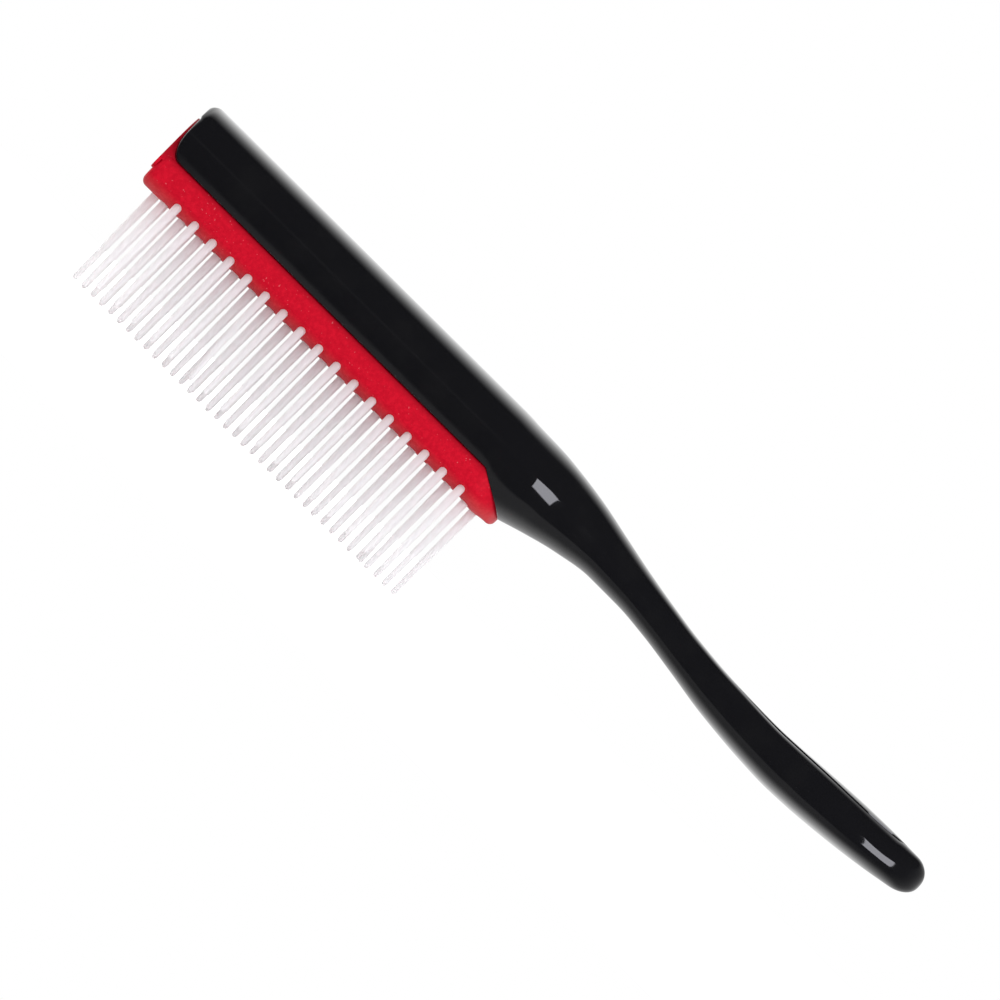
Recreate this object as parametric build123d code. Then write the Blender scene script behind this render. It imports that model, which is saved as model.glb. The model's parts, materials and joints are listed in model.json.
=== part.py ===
from build123d import *
import os
from math import cos, pi, radians, sin, sqrt, tan

# A cushioned styling brush, in millimetres. It stands on the tips of its pins.
# X runs from the tip of the head to the end of the grip, Z is up towards the brush's back,
# and Y is across the rows of pins. The origin is in the middle of the length and of the
# width, at the height of the lowest pin tips. Pieces are drawn from the head's lower edge
# and lifted to their height at the end.

# ---- Driving sizes -----------------------------------------------------------------------

overall_length = 215.8      # end plate to the end of the grip

# Pins, which set the length of the pad and of the head
pin_pitch = 5.1             # along a row
pin_counts = (17, 18, 19, 18, 19, 18, 17)   # in each row, from one side to the other
pin_side_margin = 1.45      # from the outer rows, where they leave the rubber, to the pad's side
row_fan = 5.0               # degrees that each row leans out more than the one inside it
pin_reach = 24.0            # from the rubber to the tip
pin_base_radius = 0.93
pin_tip_radius = 0.6

# Backbone of a pin strip
backbone_width = 2.2
backbone_height = 1.0
backbone_overhang = 1.6     # past the last pin's axis

# Rubber pad
pad_half_width = 14.2
pad_wall = 4.3              # straight side wall under the head
pad_depth = 8.05            # from the head's lower edge to the crown
shoulder_width = 5.9        # rounding from the crown to the side wall, measured across
pad_tip_margin = 4.4        # from the first pin's axis to the pad's tip face
pad_nose_margin = 4.7       # from the last pin's axis to the pad's nose
pad_edge_radius = 1.5       # round the tip face
nose_radius = 1.4           # round the nose, seen from the side
nose_length = 8.9           # length over which the pad's plan narrows to its nose
core_half_width = 12.4      # the part of the pad that stands in the channel
core_inset = 1.7            # the core's end, in from the nose
core_height = 3.0           # the pad's back, above the head's lower edge
tongue_reach = 1.1          # out of the core, into the groove
tongue_height = 1.7

# End plate of the pad
plate_thickness = 0.5
plate_half_width = 13.9
plate_top = 9.5             # above the head's lower edge
plate_drop = 4.4            # below it
plate_shoulder = 3.2        # height at which the plate's round top begins
plate_corner_radius = 1.2
plate_proud = 0.3           # out of the head's end
heel_half_width = 13.6      # rubber behind the plate that fills the head's rounded corners

# Head of the handle
head_half_width = 16.0
head_height = 14.1          # lower edge to back
head_widest = 6.15          # height of the widest level
head_belly = 14.5           # depth of the quarter ellipse under the widest level
head_corner_radius = 2.5    # back corner at the tip
cavity_half_width = 11.5
cavity_height = 5.4         # hollow over the pad's back
cheek_length = 3.2          # rounded lower corners at the tip
cheek_height = 6.0
neck_lead = 10.9            # before the pad's nose, where the head begins to change to the neck
ramp_length = 9.1           # the neck's face that the pad's end rests under
ramp_depth = 5.8
ramp_start_pull = (0.25, 0.3)    # shares of the ramp's length and depth that bend its curve
ramp_end_pull = (0.8, 0.7)

# Running clearances
slide_gap = 0.1             # pad to handle, on every guided face
ramp_gap = 0.15             # pad's end to the ramp, along the brush
plate_gap = 0.05            # end plate to the head's end
pin_gap = 0.02              # pin strip to its hole in the rubber

# Neck and grip: share of the way from the head to the grip's end, then height of the back,
# height of the front, widest level, all from the head's lower edge, half width, and how full
# the back and the front are (2 is an ellipse, more is squarer)
grip_stations = (
    (0.03, 13.9, -7.8, 5.5, 15.7, 2.0, 2.3),
    (0.086, 13.65, -5.9, 4.5, 14.7, 2.0, 2.6),
    (0.13, 13.1, -4.25, 3.9, 12.8, 2.0, 2.7),
    (0.19, 12.0, -2.35, 3.7, 11.3, 2.0, 2.7),
    (0.26, 10.15, -1.05, 3.3, 9.6, 2.0, 2.7),
    (0.325, 8.45, -1.1, 2.6, 8.3, 2.2, 2.6),
    (0.39, 7.0, -1.8, 1.7, 7.5, 2.5, 2.6),
    (0.46, 5.7, -3.1, 0.7, 7.1, 2.8, 2.6),
    (0.55, 4.75, -4.9, -0.3, 7.2, 3.0, 2.5),
    (0.65, 4.45, -6.05, -0.9, 8.1, 3.0, 2.5),
    (0.7, 4.7, -6.3, -1.0, 8.65, 3.0, 2.5),
    (0.75, 5.1, -6.1, -1.0, 9.1, 3.0, 2.5),
    (0.85, 5.7, -5.0, -0.8, 9.5, 2.8, 2.4),
    (0.915, 5.8, -3.9, -0.25, 9.6, 2.3, 2.2),
    (0.95, 5.7, -3.15, 0.3, 9.6, 2.1, 2.1),
    (1.0, 5.65, -2.05, 1.2, 9.6, 2.0, 2.0),
)
taper_length = 29.0         # over which the grip's plan rounds in to its end
dome_length = 4.5           # rounded end of the grip, seen from the side
dome_cap = 0.1              # share of the height that the very end keeps, as a small flat

section_points = 20         # down one side of a cross-section
grip_steps = 44             # sections from the head to the dome
dome_steps = 8

# ---- Places worked out from them ---------------------------------------------------------

rows = len(pin_counts)
middle_row = (rows - 1) / 2
row_spacing = (pad_half_width - pin_side_margin) / middle_row
tip_x = -overall_length / 2
pad_tip_x = tip_x + plate_thickness
recess_x = pad_tip_x + plate_gap
head_tip_x = tip_x + plate_proud
longest_row = (max(pin_counts) - 1) * pin_pitch
pins_middle_x = pad_tip_x + pad_tip_margin + longest_row / 2
nose_x = pins_middle_x + longest_row / 2 + pad_nose_margin
nose_start_x = nose_x - nose_length
neck_start_x = nose_x - neck_lead
ramp_start_x = nose_x - ramp_length
core_end_x = nose_x - core_inset
grip_end_x = overall_length / 2
dome_x = grip_end_x - dome_length
taper_x = grip_end_x - taper_length
crown_half_width = pad_half_width - shoulder_width
shoulder_height = pad_depth - pad_wall
backbone_middle = core_height - backbone_height / 2
seat_z = pad_depth + pin_reach   # the head's lower edge, above the pin tips
far = 2 * overall_length         # beyond every face, for cutting


def across(profile):
    """A long bar with a profile drawn in X and Z."""
    return extrude(Plane.XZ * profile, far, both=True)


def along(profile, start, end):
    """A bar from one X to another, with a profile drawn in Y and Z."""
    return extrude(Plane.YZ.offset(start) * profile, end - start)


def upright(plan, bottom, top):
    """A block from one height to another, with a plan drawn in X and Y."""
    return extrude(Plane.XY.offset(bottom) * plan, top - bottom)


def bar_plan(start, end, half_width):
    """A straight-sided plan with square ends."""
    return Pos((start + end) / 2, 0) * Rectangle(end - start, 2 * half_width)


def nosed_plan(start, straight_end, nose, half_width):
    """A straight-sided plan with a half-ellipse nose."""
    nose_round = Pos(straight_end, 0) * Ellipse(nose - straight_end, half_width)
    return bar_plan(start, straight_end, half_width) + nose_round


def rubber_level(y):
    """Height of the pad's face at a distance y from the middle."""
    past_crown = max(0.0, abs(y) - crown_half_width) / shoulder_width
    return -pad_wall - shoulder_height * sqrt(1.0 - past_crown**2)


def ramp_curve(shift_x, shift_z):
    """The neck's face behind the pad, seen from the side, from its low end to the seat."""
    pulls = ((1.0, 1.0), ramp_end_pull, ramp_start_pull, (0.0, 0.0))
    points = [
        (ramp_start_x + share_x * ramp_length + shift_x, -share_z * ramp_depth + shift_z)
        for share_x, share_z in pulls
    ]
    return Bezier(*points)


# ---- Handle ------------------------------------------------------------------------------

def between(stations, place):
    """The sizes at a place between stations, by smooth curves that don't overshoot them."""
    last = len(stations) - 1

    def slope(index, column):
        if index == 0:
            return 0.0
        if index == last:
            before, here = stations[-2:]
            return (here[column] - before[column]) / (here[0] - before[0])
        before, here, after = stations[index - 1 : index + 2]
        left = (here[column] - before[column]) / (here[0] - before[0])
        right = (after[column] - here[column]) / (after[0] - here[0])
        return 0.0 if left * right <= 0 else 2 * left * right / (left + right)

    index = max(i for i in range(last) if stations[i][0] <= place)
    start, end = stations[index], stations[index + 1]
    span = end[0] - start[0]
    t = (place - start[0]) / span
    sizes = []
    for column in range(1, len(start)):
        rise = end[column] - start[column]
        leave, arrive = slope(index, column) * span, slope(index + 1, column) * span
        bend = t**2 * (3 * rise - 2 * leave - arrive) + t**3 * (leave + arrive - 2 * rise)
        sizes.append(start[column] + t * leave + bend)
    return sizes


def handle_section(x, sizes, dome_share=1.0):
    """One closed cross-section, as a smooth line down each side from the back to the front."""
    back, front, widest, half_width, back_fullness, front_fullness = sizes
    into_taper = max(0.0, (x - taper_x) / taper_length)
    half_width *= sqrt(1 - into_taper**2)
    sides = ([], [])
    for step in range(section_points + 1):
        turn = pi / 2 - pi * step / section_points
        height, power = back - widest, 2 / back_fullness
        if turn < 0:
            height, power = front - widest, 2 / front_fullness
        y = half_width * abs(cos(turn)) ** power if 0 < step < section_points else 0.0
        z = widest + dome_share * height * abs(sin(turn)) ** power
        sides[0].append(Vector(x, y, z))
        sides[1].append(Vector(x, -y, z))
    return Face(Wire([Edge.make_spline(side) for side in sides]))


def handle_blank():
    """The outside of the head, neck and grip, through closely spaced cross-sections."""
    head = (head_height, head_widest - head_belly, head_widest, head_half_width, 2.0, 2.0)
    start = tip_x - plate_thickness
    stations = [(start, *head), (neck_start_x, *head)]
    for share, *sizes in grip_stations:
        stations.append((neck_start_x + share * (grip_end_x - neck_start_x), *sizes))
    sections = [handle_section(start, head)]
    for step in range(grip_steps):
        x = neck_start_x + (dome_x - neck_start_x) * step / grip_steps
        sections.append(handle_section(x, between(stations, x)))
    for step in range(dome_steps + 1):
        swing = sqrt(1 - dome_cap**2) * sin(pi / 2 * step / dome_steps)
        x = dome_x + dome_length * swing
        sections.append(handle_section(x, between(stations, x), sqrt(1 - swing**2)))
    return loft(sections, ruled=True)


def handle_profile():
    """Side view of all that the handle may fill: cheek, tip, back, neck, ramp and seat."""
    ledge = plate_top + slide_gap
    corner_x = head_tip_x + head_corner_radius
    corner_z = head_height - head_corner_radius
    ramp = ramp_curve(0, 0)
    cheek_x = recess_x + cheek_length
    outline = [
        Line((recess_x, ledge), (head_tip_x, ledge)),
        Line((head_tip_x, ledge), (head_tip_x, corner_z)),
        CenterArc((corner_x, corner_z), head_corner_radius, 180, -90),
        Polyline((corner_x, head_height), (corner_x, far), (far, far), (far, -far),
                 (nose_x, -far), (nose_x, -ramp_depth)),
        ramp,
        Line((ramp_start_x, 0), (cheek_x, 0)),
        EllipticalCenterArc((cheek_x, cheek_height), cheek_length, cheek_height, 180, arc_size=90),
        Line((recess_x, cheek_height), (recess_x, ledge)),
    ]
    return make_face(outline)


def handle():
    """Head, neck and grip in one, hollow behind the pad and grooved for its tongues."""
    outer = handle_blank() & across(handle_profile())
    before_tip = tip_x - plate_thickness
    roof = core_height + slide_gap
    channel = upright(
        nosed_plan(before_tip, nose_start_x, core_end_x + slide_gap, core_half_width + slide_gap),
        -pad_depth, roof)
    groove = upright(
        bar_plan(before_tip, nose_start_x + slide_gap,
                 core_half_width + tongue_reach + slide_gap),
        core_height - tongue_height - slide_gap, roof)
    hollow = Ellipse(cavity_half_width, cavity_height) - Pos(0, -far / 2) * Rectangle(far, far)
    cavity = along(Pos(0, roof) * hollow, before_tip, nose_start_x)
    return outer - channel - groove - cavity


# ---- Rubber pad --------------------------------------------------------------------------

def pad_section():
    """The pad across the rows: side walls, round shoulders and a flat crown."""
    wall, crown = pad_half_width, crown_half_width
    outline = [
        Polyline((-wall, -pad_wall), (-wall, pad_wall), (wall, pad_wall), (wall, -pad_wall)),
        EllipticalCenterArc((crown, -pad_wall), shoulder_width, shoulder_height, 270, arc_size=90),
        Line((crown, -pad_depth), (-crown, -pad_depth)),
        EllipticalCenterArc((-crown, -pad_wall), shoulder_width, shoulder_height, 180, arc_size=90),
    ]
    return make_face(outline)


def pad_profile():
    """The pad's body from the side, under the seat and the ramp."""
    end_x = nose_x - ramp_gap
    edge_x = pad_tip_x + pad_edge_radius
    edge_z = pad_edge_radius - pad_depth
    nose_z = nose_radius - pad_depth
    outline = [
        Line((pad_tip_x, -slide_gap), (ramp_start_x - ramp_gap, -slide_gap)),
        ramp_curve(-ramp_gap, -slide_gap),
        Line((end_x, -ramp_depth - slide_gap), (end_x, nose_z)),
        CenterArc((end_x - nose_radius, nose_z), nose_radius, 0, -90),
        Line((end_x - nose_radius, -pad_depth), (edge_x, -pad_depth)),
        CenterArc((edge_x, edge_z), pad_edge_radius, 270, -90),
        Line((pad_tip_x, edge_z), (pad_tip_x, -slide_gap)),
    ]
    return make_face(outline)


def end_plate():
    """The thin plate that closes the head's tip."""
    arch = Pos(0, plate_shoulder) * Ellipse(plate_half_width, plate_top - plate_shoulder)
    lower = Pos(0, (plate_shoulder - plate_drop) / 2) * Rectangle(
        2 * plate_half_width, plate_shoulder + plate_drop)
    outline = arch + lower
    corners = outline.vertices().group_by(Axis.Y)[0]
    return along(fillet(corners, plate_corner_radius), tip_x, pad_tip_x)


def heel():
    """The rubber under the head's rounded corners, which the end plate is joined to."""
    sunk = -slide_gap - pad_edge_radius
    end_x = recess_x + cheek_length - slide_gap
    top = cheek_height - slide_gap
    outline = [
        EllipticalCenterArc((end_x, top), cheek_length, cheek_height, 180, arc_size=90),
        Polyline((end_x, -slide_gap), (end_x, sunk), (end_x - cheek_length, sunk),
                 (end_x - cheek_length, top)),
    ]
    return across(make_face(outline)) & upright(
        bar_plan(pad_tip_x - far, pad_tip_x + far, heel_half_width), -far, far)


def pin_places(row):
    """Where a row's pins stand along the brush."""
    count = pin_counts[row]
    first = pins_middle_x - pin_pitch * (count - 1) / 2
    return [first + pin_pitch * step for step in range(count)]


def row_axis(row):
    """A row's distance from the middle at the rubber, its lean in degrees, and its depth."""
    y = (row - middle_row) * row_spacing
    return y, (row - middle_row) * row_fan, rubber_level(y)


def backbone_y(row):
    """Where a row's leaning pins cross the middle of its backbone."""
    y, lean, level = row_axis(row)
    return y - (backbone_middle - level) * tan(radians(lean))


def pin_strip(row, gap):
    """A row's backbone and pins, or with a gap the hole that they need in the rubber."""
    y, lean, level = row_axis(row)
    shank = (backbone_middle - level) / cos(radians(lean))
    base = pin_base_radius + gap
    places = pin_places(row)
    if gap:
        pin = Cylinder(base, shank + pad_depth, align=(Align.CENTER, Align.CENTER, Align.MAX))
        pin = Pos(0, 0, shank) * pin
    else:
        taper_end = pin_tip_radius - pin_reach
        outline = [
            Polyline((0, taper_end - pin_tip_radius), (0, shank), (base, shank), (base, 0),
                     (pin_tip_radius, taper_end)),
            CenterArc((0, taper_end), pin_tip_radius, 0, -90),
        ]
        pin = revolve(Plane.XZ * make_face(outline), Axis.Z)
    length = places[-1] - places[0] + 2 * (backbone_overhang + gap)
    top = core_height + gap
    bottom = core_height - backbone_height - gap
    backbone = Pos(pins_middle_x, backbone_y(row), (top + bottom) / 2) * Box(
        length, backbone_width + 2 * gap, top - bottom)
    leaning = Rot(lean, 0, 0) * pin
    return backbone + [Pos(x, y, level) * leaning for x in places]


def cushion_pad():
    """Body, core, tongues and end plate, with a hole for every pin."""
    body = (
        along(pad_section(), pad_tip_x, nose_x)
        & across(pad_profile())
        & upright(nosed_plan(pad_tip_x, nose_start_x, nose_x, pad_half_width), -far, far)
    )
    core = upright(
        nosed_plan(pad_tip_x, nose_start_x, core_end_x, core_half_width),
        -slide_gap, core_height)
    tongues = upright(
        bar_plan(pad_tip_x, nose_start_x, core_half_width + tongue_reach),
        core_height - tongue_height, core_height)
    pad = body + core + tongues + heel() + end_plate()
    return pad - [pin_strip(row, pin_gap) for row in range(rows)]


# ---- Assembly ----------------------------------------------------------------------------

pieces = {"handle": handle(), "cushion_pad": cushion_pad()}
for row in range(rows):
    pieces[f"pin_row_{row + 1}"] = pin_strip(row, 0)

os.makedirs("parts", exist_ok=True)
for name, piece in pieces.items():
    export_step(Pos(0, 0, seat_z) * piece, f"parts/{name}.step")
    print(name, round(piece.volume), "mm3,", len(piece.solids()), "solid")
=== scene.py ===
# %% [markdown]
# # A cushioned styling brush
#
# This brush has three kinds of piece: a gloss black handle moulded in one with the head, a red
# rubber pad that slides out at the tip, and seven comb strips of white nylon pins that stand in
# the rubber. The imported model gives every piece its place. This lesson dresses each of them:
# a mesh for its shape, a procedural finish, and the studio that shows it.

# %% Load the frame
import json
import random
from math import asin, acos, cos, pi, radians, sin, sqrt, tan

import bmesh
import bpy
from mathutils import Matrix, Vector

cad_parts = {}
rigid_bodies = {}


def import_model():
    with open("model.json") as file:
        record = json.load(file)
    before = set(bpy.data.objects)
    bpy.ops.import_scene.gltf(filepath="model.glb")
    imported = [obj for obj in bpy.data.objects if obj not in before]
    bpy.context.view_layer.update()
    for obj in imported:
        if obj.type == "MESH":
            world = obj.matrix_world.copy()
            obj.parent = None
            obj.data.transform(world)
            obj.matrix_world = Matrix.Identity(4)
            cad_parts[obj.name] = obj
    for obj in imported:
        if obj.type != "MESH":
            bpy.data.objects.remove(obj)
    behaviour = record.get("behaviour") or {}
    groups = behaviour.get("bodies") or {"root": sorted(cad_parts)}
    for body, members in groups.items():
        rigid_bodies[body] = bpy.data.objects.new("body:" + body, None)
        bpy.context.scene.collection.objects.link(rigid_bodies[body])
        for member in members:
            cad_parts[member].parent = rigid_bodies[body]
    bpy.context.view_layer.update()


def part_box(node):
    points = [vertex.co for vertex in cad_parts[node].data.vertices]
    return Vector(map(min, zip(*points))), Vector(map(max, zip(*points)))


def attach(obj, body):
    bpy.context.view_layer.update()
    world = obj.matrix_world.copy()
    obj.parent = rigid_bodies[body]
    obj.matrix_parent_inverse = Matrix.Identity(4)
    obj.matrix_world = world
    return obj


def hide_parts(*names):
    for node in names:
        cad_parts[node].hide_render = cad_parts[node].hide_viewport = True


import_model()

MM = 0.001

# %% [markdown]
# ## The places that every piece shares
#
# The brush stands on its pins. X runs from the tip of the head to the end of the grip, Y across
# the rows of pins, and Z up to the back. Its sizes are easiest to think about from the head's
# lower edge, where the black plastic meets the red rubber, so one helper lifts a point from
# there to its height and turns millimetres into metres. The far ends come from the frame.

# %% Shared places
pad_depth = 8.05                # from the head's lower edge to the pad's crown
pad_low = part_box("cushion_pad")[0] / MM
handle_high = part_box("handle")[1] / MM
seat_z = pad_low.z + pad_depth  # the head's lower edge
tip_x = pad_low.x               # outside of the pad's end plate
grip_end_x = handle_high.x


def spot(x, y, z):
    """A point given in millimetres from the head's lower edge, as a place in the frame."""
    return Vector((x, y, z + seat_z)) * MM


def in_metres(lengths):
    return tuple(length * MM for length in lengths)


print("tip at", round(tip_x, 2), "grip ends at", round(grip_end_x, 2), "seat", round(seat_z, 2))

# %% [markdown]
# ## The camera
#
# The brush is seen exactly from its side, and the picture is turned so that the head points up
# to the left and the grip down to the right. A very long lens from six metres away keeps the
# seven rows of pins in line, one behind another, so that white shows between them. A camera's
# own axes are its columns: right, up and backwards.

# %% Camera
picture_turn = radians(44.74)   # the head's slope in the picture
view_width = 205.0              # millimetres across the picture, at the middle of the brush
camera_distance = 6000.0
sensor_width = 36.0
aim = Vector((-8.957, 0.0, 29.38))  # middle of the picture


def make_camera():
    lens = bpy.data.cameras.new("side_camera")
    lens.sensor_width = sensor_width
    lens.lens = sensor_width * camera_distance / view_width
    camera = bpy.data.objects.new("side_camera", lens)
    right = Vector((cos(picture_turn), 0, sin(picture_turn)))
    up = Vector((-sin(picture_turn), 0, cos(picture_turn)))
    backwards = right.cross(up)
    turned = Matrix((right, up, backwards)).transposed().to_4x4()
    camera.matrix_world = Matrix.Translation((aim + backwards * camera_distance) * MM) @ turned
    bpy.context.scene.collection.objects.link(camera)
    bpy.context.scene.camera = camera
    return camera


camera = make_camera()
print("camera at", [round(value, 3) for value in camera.matrix_world.translation])

# %% [markdown]
# ## Shader maths that reads as Python
#
# A finish is a small network of nodes. Written out node by node, its sums are hard to follow, so
# a socket is wrapped in a class whose operators add the Math nodes. One method adds any other
# node: its settings first, then the values or links of its sockets.

# %% Sockets and finishes
class Signal:
    """A socket that carries a number."""

    def __init__(self, finish, socket):
        self.finish = finish
        self.socket = socket

    def maths(self, operation, *values):
        sockets = dict(enumerate((self,) + values))
        return self.finish.add("Math", {"operation": operation}, sockets).signal(0)

    def __add__(self, other):
        return self.maths("ADD", other)

    def __sub__(self, other):
        return self.maths("SUBTRACT", other)

    def __rsub__(self, other):
        return self.maths("MULTIPLY_ADD", -1.0, other)

    def __mul__(self, other):
        return self.maths("MULTIPLY", other)

    def __truediv__(self, other):
        return self.maths("DIVIDE", other)

    def __pow__(self, other):
        return self.maths("POWER", other)

    def at_most(self, other):
        return self.maths("MINIMUM", other)

    def step_up(self, start, end):
        """0 below start, 1 above end, and a smooth rise between them."""
        sockets = {"Value": self, "From Min": start, "From Max": end}
        return self.finish.add("MapRange", {"interpolation_type": "SMOOTHSTEP"}, sockets).signal(0)

    def ramp_up(self, start, end):
        """The same, but a straight rise; start and end may be signals too."""
        sockets = {"Value": self, "From Min": start, "From Max": end}
        return self.finish.add("MapRange", {"clamp": True}, sockets).signal(0)

    __radd__ = __add__
    __rmul__ = __mul__


class Node:
    """A node of a finish."""

    def __init__(self, finish, node):
        self.finish = finish
        self.node = node

    def signal(self, name):
        return Signal(self.finish, self.node.outputs[name])


class Finish:
    """A node tree that nodes are added to."""

    def __init__(self, tree):
        self.tree = tree
        self.tree.nodes.clear()

    def add(self, kind, settings=(), sockets=()):
        node = self.tree.nodes.new("ShaderNode" + kind)
        for name, value in dict(settings).items():
            setattr(node, name, value)
        for name, value in dict(sockets).items():
            self.feed(node.inputs[name], value)
        return Node(self, node)

    def feed(self, socket, value):
        if isinstance(value, Signal):
            self.tree.links.new(value.socket, socket)
        else:
            socket.default_value = value

    def blend_colour(self, share, first, second):
        sockets = {0: share, 6: first, 7: second}
        return self.add("Mix", {"data_type": "RGBA"}, sockets).signal(2)

    def object_point(self):
        return self.add("TexCoord").signal("Object")

    def axes(self, point):
        """The three parts of a place or a direction."""
        apart = self.add("SeparateXYZ", {}, {0: point})
        return [apart.signal(axis) for axis in "XYZ"]

    def bump(self, height, strength, depth):
        return self.add("Bump", {}, {
            "Height": height, "Strength": strength, "Distance": depth * MM}).signal(0)

    def noise(self, size_mm, detail=3.0, roughness=0.5):
        """Noise whose patches are about that large, between 0 and 1."""
        sockets = {"Vector": self.object_point(), "Scale": 1 / (size_mm * MM),
                   "Detail": detail, "Roughness": roughness}
        return self.add("TexNoise", {"normalize": True}, sockets).signal(0)


def new_material(name):
    material = bpy.data.materials.new(name)
    material.use_nodes = True
    return material, Finish(material.node_tree)


print("shader helpers ready")

# %% [markdown]
# ## The gloss black plastic
#
# The handle is polished black nylon. Nearly all that is seen of it is reflection: deep black
# where it mirrors the dark side of the studio, and white along its edges. A perfect mirror
# looks unreal, so faint handling haze changes the roughness in soft patches and fine hairline
# scuffs, and a very shallow moulding wave bends the reflections a little. A faint mould line
# runs along the head at its widest level, and the highlight along its ridge is painted on as a
# slightly lighter colour.

# %% Gloss black
parting_z = 6.15                # the head's widest level, above its lower edge
parting_edges = (0.05, 0.3)     # full and gone, this far above and below that level
parting_fade_x = (-22.0, -10.0)  # full and gone along the neck
parting_highlight_share = 0.5             # of the line's colour
hairline_stretch = (60.0, 700.0, 700.0)
wave_depth = 0.012


def gloss_black():
    material, finish = new_material("gloss_black_plastic")
    haze = finish.noise(9.0).step_up(0.45, 0.75)
    stretched = finish.add("Mapping", {"vector_type": "POINT"}, {
        "Vector": finish.object_point(), "Scale": hairline_stretch}).signal(0)
    hairlines = finish.add("TexNoise", {"normalize": True}, {
        "Vector": stretched, "Scale": 4.0, "Detail": 2.0}).signal(0).step_up(0.62, 0.72)
    along, _, height = finish.axes(finish.object_point())
    from_line = (height - spot(0, 0, parting_z).z).maths("ABSOLUTE")
    parting_highlight = (1 - from_line.step_up(*in_metres(parting_edges))) * (
        1 - along.step_up(*in_metres(parting_fade_x)))
    moulded = finish.blend_colour(haze, (0.0062, 0.0062, 0.0072, 1), (0.0076, 0.0076, 0.0084, 1))
    # The mould line is painted a little lighter: a painted highlight along its ridge, not a colour
    # of the plastic.
    colour = finish.blend_colour(parting_highlight * parting_highlight_share, moulded, (0.012, 0.012, 0.013, 1))
    surface = finish.add("BsdfPrincipled", {}, {
        "Base Color": colour,
        "Roughness": 0.055 + haze * 0.04 + hairlines * 0.03,
        "IOR": 1.5,
        "Normal": finish.bump(finish.noise(5.0, detail=1.0), 1.0, wave_depth),
    })
    finish.add("OutputMaterial", {}, {"Surface": surface.signal(0)})
    return material


black_plastic = gloss_black()
print("made", black_plastic.name)

# %% [markdown]
# ## The red rubber
#
# The pad is a soft natural rubber, dyed through. It is satin, not glossy: broad dull
# highlights and a fine grain from the mould. Handling leaves it mottled, and pale specks of dust
# cling to it. On the crown, which turns down and away from the light, a browner tint is painted
# on as shade, and close under the head a painted shade makes it deeper, for the head's shade.

# %% Red rubber
painted_crown_shade_z = (-8.0, -5.0)          # full at the crown and gone on the shoulders
painted_head_shade_z = (-1.9, -0.1)      # none below, and deepest under the head
pore_depth = 0.04


def red_rubber():
    material, finish = new_material("red_rubber")
    height = finish.axes(finish.object_point())[2]
    # Painted shade: a browner tint on the crown, where it turns down and away from the light.
    painted_crown_shade = 1 - height.step_up(*(spot(0, 0, level).z for level in painted_crown_shade_z))
    bloom = finish.noise(5.0, detail=4.0).step_up(0.35, 0.75)
    mottle = finish.noise(0.9, detail=4.0, roughness=0.7).step_up(0.35, 0.7)
    grain = finish.noise(0.3, detail=2.0)
    dust = finish.noise(0.5, detail=1.0).step_up(0.72, 0.78)
    # Painted shade: the rubber is darker close under the head, where the head shades it.
    painted_head_shade = height.step_up(*(spot(0, 0, level).z for level in painted_head_shade_z))
    dyed = finish.blend_colour(mottle, (0.47, 0.0008, 0.014, 1), (0.57, 0.0030, 0.019, 1))
    deep = finish.blend_colour(painted_head_shade * 0.75, dyed, (0.30, 0.0004, 0.009, 1))
    crown_shaded = finish.blend_colour(painted_crown_shade * (0.55 + mottle * 0.3), deep, (0.54, 0.050, 0.055, 1))
    dusty = finish.blend_colour(dust * 0.25, crown_shaded, (0.85, 0.30, 0.33, 1))
    surface = finish.add("BsdfPrincipled", {}, {
        "Base Color": dusty,
        "Roughness": 0.4 + bloom * 0.15,
        "IOR": 1.5,
        "Specular IOR Level": 0.07,
        "Normal": finish.bump(grain + mottle * 0.6, 0.7, pore_depth),
    })
    finish.add("OutputMaterial", {}, {"Surface": surface.signal(0)})
    return material


rubber = red_rubber()
print("made", rubber.name)

# %% [markdown]
# ## The nylon of the pins
#
# Nylon is milky: light enters, scatters and leaves again a little way off. Subsurface
# scattering does that. Much of the light goes right through, which a translucent share gives, so
# the inner rows, lit only from behind, stay nearly as white as the outer one. Near the rubber the
# pins pick up red light from the pad. That red light is painted into their colour, which warms
# towards their roots and is almost white at the tips.

# %% White nylon
pin_reach = 24.0                # from the rubber to the tip
painted_red_light_reach = (0.55, 1.05)      # shares of the reach, up from the tips, where the red comes in
painted_red_light_share = 0.4
through_share = 0.42            # of the light that goes right through


def white_nylon():
    material, finish = new_material("white_nylon")
    height = finish.axes(finish.object_point())[2]
    # Painted light: red light from the pad, painted into the colour near the roots.
    near_rubber = height.step_up(*(share * pin_reach * MM for share in painted_red_light_reach))
    cloud = finish.noise(3.0)
    milk = finish.blend_colour(cloud, (0.94, 0.93, 0.935, 1), (0.97, 0.96, 0.965, 1))
    colour = finish.blend_colour(near_rubber * painted_red_light_share, milk, (0.93, 0.80, 0.84, 1))
    surface = finish.add("BsdfPrincipled", {}, {
        "Base Color": colour,
        "Roughness": 0.36 + cloud * 0.1,
        "IOR": 1.53,
        "Transmission Weight": 0.35,
        "Subsurface Weight": 0.8,
        "Subsurface Radius": (1.6, 1.5, 1.55),
        "Subsurface Scale": 1.0 * MM,
    })
    through = finish.add("BsdfTranslucent", {}, {"Color": (0.97, 0.96, 0.965, 1)})
    milky = finish.add("MixShader", {}, {
        0: through_share, 1: surface.signal(0), 2: through.signal(0)})
    finish.add("OutputMaterial", {}, {"Surface": milky.signal(0)})
    return material


nylon = white_nylon()
print("made", nylon.name)

# %% [markdown]
# ## From a bmesh to a piece
#
# Each mesh is drawn in a bmesh, cleaned, and turned into an object that sits at the origin with
# its place in its vertices. Doubles are merged before the normals are worked out, and faces are
# smooth except across real edges.

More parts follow.
